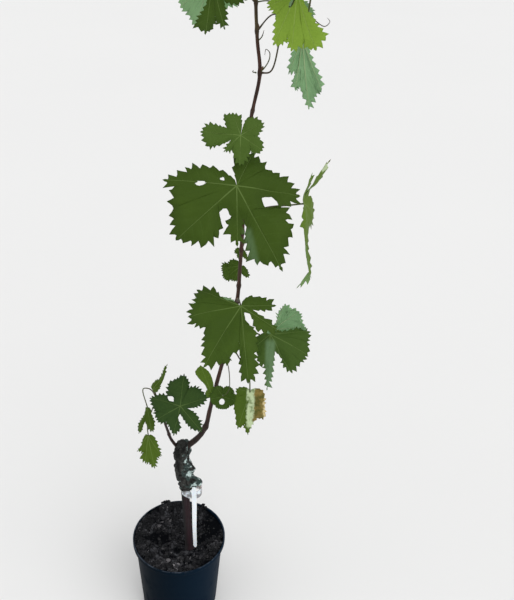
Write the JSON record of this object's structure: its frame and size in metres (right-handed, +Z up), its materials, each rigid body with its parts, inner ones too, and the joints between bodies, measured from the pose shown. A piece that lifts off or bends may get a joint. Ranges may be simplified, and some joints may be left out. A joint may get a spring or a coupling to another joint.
{
  "type": "potted grapevine",
  "caption": "Young grafted grapevine in a round nursery pot: thin rootstock with a rough graft, one tall leafy shoot, a short side shoot, lobed leaves on long stalks and a blank loop label.",
  "frame": {"origin": "middle of the flat underside of the pot, on the surface it stands on", "axes": "+Z up the trunk and shoot; +X to the side the shoot leans; -Y to the side most of the large leaves face"},
  "size_m": [0.2673, 0.226, 1.2121],
  "materials": {
    "pot": "satin",
    "compost": "matte",
    "bark": "matte",
    "cane": "satin",
    "leaf": "satin",
    "label": "satin"
  },
  "bodies": {
    "root": {"pot": "pot", "soil": "compost", "trunk": "bark", "shoot_1": "cane", "shoot_2": "cane", "shoot_3": "cane", "shoot_4": "cane", "side_shoot": "cane", "label_loop": "label", "label_tail": "label", "leaf_01": "leaf", "leaf_02": "leaf", "leaf_03": "leaf", "leaf_04": "leaf", "leaf_05": "leaf", "leaf_06": "leaf", "leaf_07": "leaf", "leaf_08": "leaf", "leaf_09": "leaf", "leaf_10": "leaf", "leaf_11": "leaf", "leaf_12": "leaf", "leaf_13": "leaf", "leaf_14": "leaf", "leaf_15": "leaf", "leaf_16": "leaf", "leaf_17": "leaf", "leaf_18": "leaf", "leaf_19": "leaf", "leaf_20": "leaf", "leaf_21": "leaf", "leaf_22": "leaf", "leaf_23": "leaf", "leaf_24": "leaf", "leaf_25": "leaf", "leaf_26": "leaf", "leaf_27": "leaf", "leaf_28": "leaf", "leaf_29": "leaf", "leaf_30": "leaf", "leaf_31": "leaf"}
  },
  "joints": []
}
